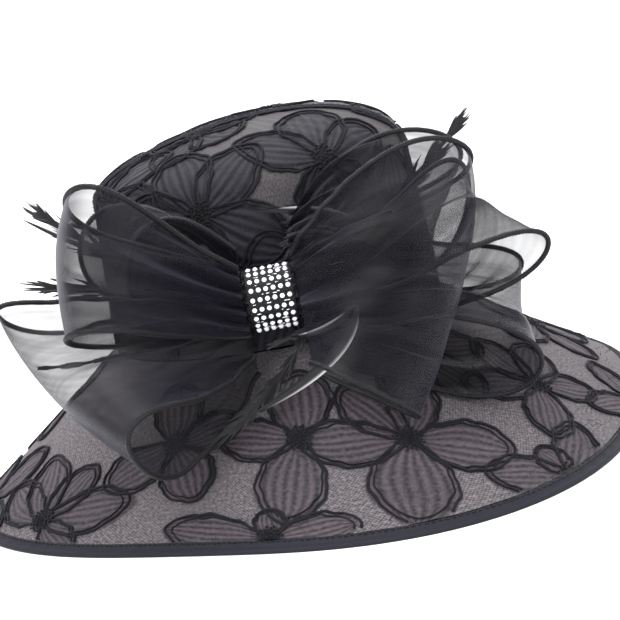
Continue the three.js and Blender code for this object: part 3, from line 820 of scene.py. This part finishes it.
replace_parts(addPiece("bowKnot", *knotCloth(), "knotCloth", "ribbon"), "bow_knot")


# Band of stones round the knot
band = {"width": 25.0, "wall": 1.2, "columns": 6, "rows": 10, "pitch": 4.0, "sweep": 196.0, "room": 1.6}
stone = {"wide": 2.7, "table": 1.5, "tall": 1.2}


def bandAt(angle, x, proud=0.0):
    ahead = knot["deep"] + band["room"] + proud
    above = knot["tall"] + band["room"] + proud
    y, z = knot["y"] - ahead * np.cos(angle), knot["z"] + above * np.sin(angle)
    return np.stack(np.broadcast_arrays(x, y, z), -1)


def bandStrip():
    angle = np.radians(band["sweep"]) * (np.linspace(0, 1, 200) - 0.5)
    x = np.linspace(-0.5, 0.5, 50) * band["width"]
    ribs = 0.22 * np.cos(np.degrees(angle) / 180 * band["rows"] * 2 * np.pi)[:, None] + 0 * x[None]
    net = 0.16 * np.sin(x / 1.0 * np.pi)[None] * np.sin(np.degrees(angle) * 0.9)[:, None]
    front = bandAt(angle[:, None], x[None], band["wall"] / 2 + ribs + net)
    back = bandAt(angle[:, None], x[None], -band["wall"] / 2)
    return join([(front, gridFaces(200, 50)), (back, gridFaces(200, 50))])


def stoneAt(angle, x):
    # a round stone with a table and a ring of facets
    middle = bandAt(angle, x, band["wall"] / 2)
    out = unit(bandAt(angle, x, 1.0) - bandAt(angle, x, 0.0))
    side = np.array([1.0, 0, 0])
    up = np.cross(out, side)
    ring = lambda radius, lift, turn: [
        middle + out * lift + radius * (math.cos(a) * side + math.sin(a) * up)
        for a in (math.radians(turn + 45 * k) for k in range(8))]
    points = ring(stone["wide"] / 2, 0.0, 0) + ring(stone["wide"] / 2, 0.45, 0)
    points += ring(stone["table"] / 2, stone["tall"], 22.5)
    faces = [[k, (k + 1) % 8, 8 + (k + 1) % 8, 8 + k] for k in range(8)]
    faces += [[8 + k, 8 + (k + 1) % 8, 16 + k] for k in range(8)]
    faces += [[8 + (k + 1) % 8, 16 + (k + 1) % 8, 16 + k] for k in range(8)]
    faces += [[16 + k for k in range(8)]]
    return points, faces


stones = []
glints = []
for r in range(band["rows"]):
    angle = math.radians(180) * ((r + 0.5) / band["rows"] - 0.5)
    for c in range(band["columns"]):
        x = band["pitch"] * (c - (band["columns"] - 1) / 2)
        stones.append(stoneAt(angle, x))
    for k in range(5):
        x = dice.uniform(-11, 11)
        between = angle + math.radians(9) + dice.uniform(-0.03, 0.03)
        ends = [bandAt(between, x, 0.75), bandAt(between, x + dice.uniform(0.8, 2.2), 0.75)]
        glints.append(rope(ends, 0.2, sides=5))
bandPiece = addPiece("bandMesh", *bandStrip(), "knotCloth", "crystal")
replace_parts(bandPiece, "rhinestone_band")
addPiece("bandStones", *join(stones), "glass", "crystal", smooth=False)
addPiece("bandGlints", *join(glints), "glass", "crystal", smooth=False)
print("stage: knot and band")


# Feathers, each bent once, with the barbs split apart
feather = {"length": 150.0, "width": 9.0}
featherRows = {
    "feather_far_left": ((-1.1, -0.4, 0.4), 172, 26, 0.43, 134, 12, 0.49, 1.3),
    "feather_left": ((-1.15, -0.55, 0.0), 170, 24, 0.5, 168, 9, 0.3, 1.2),
    "feather_right": ((1.3, -0.9, 0.5), 12, 25, 0.35, 42, 15, 0.57, 1.2),
    "feather_low": ((1.4, 1.15, -0.65), 240, -10, 0.25, 205, -20, 0.3, 1.0),
}


def bent(start, middle, end, t):
    t = np.asarray(t)[..., None]
    return (1 - t) ** 2 * start + 2 * t * (1 - t) * middle + t * t * end


def featherParts(start, middle, end, width, barbs, split):
    # a spine with barbs on both sides, in clumps that part towards the tip
    front = np.array([0.0, -1.0, 0.0])
    parts = [rope(bent(start, middle, end, np.linspace(0, 1, 40)), 0.7, sides=6, taper=0.85)]
    for side in (-1, 1):
        for i in range(barbs):
            t = 0.12 + 0.86 * i / barbs
            foot = bent(start, middle, end, t)
            ahead = unit(bent(start, middle, end, t + 0.01) - foot)
            across = unit(np.cross(ahead, front)) * side
            clump = math.floor(i / 5) % 3 - 1
            half = 0.5 * width * (0.2 + 0.8 * math.sin(math.pi * t ** 1.5) ** 0.8)
            lean = 0.32 + split * 0.25 * clump + dice.uniform(-0.05, 0.05)
            reach = min(26.0, half * dice.uniform(0.85, 1.3) / max(lean, 0.15))
            tip = foot + reach * unit(ahead + lean * across) + front * dice.uniform(-0.7, 0.9)
            bow = (foot + tip) / 2 + across * 0.12 * half
            curve = bent(foot, bow, tip, np.linspace(0, 1, 6))
            flat = unit(np.cross(tip - foot, front))
            wide = 0.8 * (1 - np.linspace(0, 1, 6) ** 2 * 0.85)[:, None]
            both = np.stack([curve - flat * wide, curve + front * 0.2, curve + flat * wide], 1)
            parts.append((both, gridFaces(6, 3)))
    return parts


def biot(start, middle, end, width, edge=1):
    # one unsplit barb: a thin curved blade, cupped across, with a painted highlight along one edge
    front = np.array([0.0, -1.0, 0.0])
    t = np.linspace(0, 1, 60)
    path = bent(start, middle, end, t)
    side = unit(np.cross(framesAlong(path)[0], front))
    across = np.linspace(-1, 1, 9)
    half = 0.5 * width * np.sin(np.pi * np.clip(t, 0.015, 0.985) ** 0.85)[:, None] ** 0.75
    cup = 0.28 * half * (1 - across[None] ** 2)
    points = path[:, None] + side[:, None] * (half * across[None])[..., None] + front * cup[..., None]
    # painted highlight: one edge turns pale grey, away from the blade's ends
    nearEdge = np.clip((edge * across[None] - 0.45) / 0.35, 0, 1)
    paintedHighlightShare = nearEdge * np.clip(np.sin(np.pi * t)[:, None] * 1.6 - 0.5, 0, 1)
    return points.reshape(-1, 3), gridFaces(len(t), len(across)), paintedHighlightShare.ravel()


for name, (at, turn, out, stem, tipTurn, tipOut, blade, wide) in featherRows.items():
    start = startOf(*at)
    middle = start + direction(turn, out) * stem * feather["length"]
    end = middle + direction(tipTurn, tipOut) * blade * feather["length"]
    camel = "".join(word.capitalize() for word in name.split("_"))
    piece = addPiece(camel[0].lower() + camel[1:],
                     *join(featherParts(start, middle, end, feather["width"] * wide, 90, 1.0)), "feather", "feather")
    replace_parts(piece, name)

# Loose barbs that stand out of the bow, each from where it is tucked in to its tip
wisps = [
    ((-70, -62, 147), (-87, -60, 157), (-104, -60, 168), 2.2),
    ((-78, -95, 98), (-105, -98, 94), (-133, -100, 99), 3.0),
    ((53, -97, 144), (38, -96, 154), (7, -96, 160), 6.0),
    ((38, -102, 148), (24, -101, 150), (18, -101, 139), 4.5),
    ((43, -122, 105), (22, -126, 98), (-3, -124, 93), 4.0),
]
parts = []
for start, middle, end, width in wisps:
    parts += featherParts(np.array(start, float), np.array(middle, float), np.array(end, float), width, 40, 1.6)
addPiece("featherWisps", *join(parts), "feather", "feather")
biots = [
    ((43, -152, 112), (38, -150, 82), (-28, -130, 57), 6.5, -1),
    ((40, -150, 110), (26, -150, 98), (6, -128, 96), 4.5, 1),
    ((53, -98, 145), (36, -98, 155), (6, -98, 160), 6.5, 1),
    ((50, -98, 141), (34, -98, 150), (12, -98, 152), 4.5, -1),
    ((-60, -72, 136), (-96, -64, 150), (-131, -58, 176), 4.0, 1),
    ((-58, -74, 124), (-90, -68, 127), (-128, -62, 134), 4.0, -1),
]
blades = [biot(np.array(a, float), np.array(b, float), np.array(c, float), w, e) for a, b, c, w, e in biots]
points, faces = join([(p, f) for p, f, paintedHighlightShare in blades])
paintedHighlightShare = np.concatenate([share for blade, sides, share in blades])
addPiece("featherBlades", points, faces, "feather", "feather", values={"pale": paintedHighlightShare})
print("stage: feathers")


# Loose threads at the rim and over the seam
threads = {"count": 420, "shortest": 1.8, "longest": 4.6, "thick": 0.16}


def looseThreads():
    parts = []
    for i in range(threads["count"]):
        onSeam = i % 3 == 0
        if onSeam:
            foot = seam[dice.integers(5, len(seam) - 5)]
            out = np.array([dice.normal(0, 0.5), dice.normal(0, 0.6), 1.0])
        else:
            angle = dice.uniform(-math.pi, math.pi)
            foot = brimPoint(angle, dice.uniform(0.06, 0.2) * slopeRun, 0.8)
            out = np.array([math.cos(angle), math.sin(angle), 1.0])
        out = unit(out + dice.normal(0, 0.5, 3))
        curl = dice.normal(0, 1, 3)
        long = dice.uniform(threads["shortest"], threads["longest"])
        path = [foot + out * long * t + curl * 0.9 * t * t for t in np.linspace(0, 1, 5)]
        parts.append(rope(path, threads["thick"], sides=4, taper=0.6))
    return join(parts)


addPiece("looseThreads", *looseThreads(), "outline", "edge")


# Floor and soft studio light
def makeStage():
    made, tree, shader = newMaterial("matteWhitePaper", {"Base Color": linear("#f7f7f8"), "Roughness": 0.95,
                                                         "Specular IOR Level": 0.1})
    profile = [(-1500, 0), (900, 0)]
    profile += [(900 + 700 * math.sin(math.radians(a)), 700 - 700 * math.cos(math.radians(a)))
                for a in range(6, 91, 6)]
    profile += [(1600, 2600)]
    points = [(x, y, z) for x in (-2600, 2600) for y, z in profile]
    mesh = bpy.data.meshes.new("paperSweep")
    mesh.from_pydata([[v * mm for v in p] for p in points], [], gridFaces(2, len(profile)))
    mesh.polygons.foreach_set("use_smooth", [True] * len(mesh.polygons))
    mesh.materials.append(made)
    sweep = bpy.data.objects.new("paperSweep", mesh)
    bpy.context.scene.collection.objects.link(sweep)


lights = [
    {"name": "keySoftbox", "at": (-900, -1300, 1500), "size": 1300, "power": 42},
    {"name": "fillSoftbox", "at": (1300, -900, 900), "size": 1100, "power": 16},
    {"name": "topSoftbox", "at": (0, 300, 1900), "size": 1800, "power": 40},
]


def makeLights():
    for row in lights:
        lamp = bpy.data.lights.new(row["name"], "AREA")
        lamp.size = row["size"] * mm
        lamp.energy = row["power"]
        holder = bpy.data.objects.new(row["name"], lamp)
        bpy.context.scene.collection.objects.link(holder)
        place = Vector(row["at"]) * mm
        holder.location = place
        holder.rotation_euler = (Vector((0, 0, 0.1)) - place).to_track_quat("-Z", "Y").to_euler()
    world = bpy.data.worlds.new("whiteRoom")
    bpy.context.scene.world = world
    world.use_nodes = True
    sky = world.node_tree.nodes["Background"]
    sky.inputs["Color"].default_value = linear("#ffffff")
    sky.inputs["Strength"].default_value = 0.85


makeStage()
makeLights()
bpy.context.scene.view_settings.view_transform = "Standard"
print("stage: floor and lights")
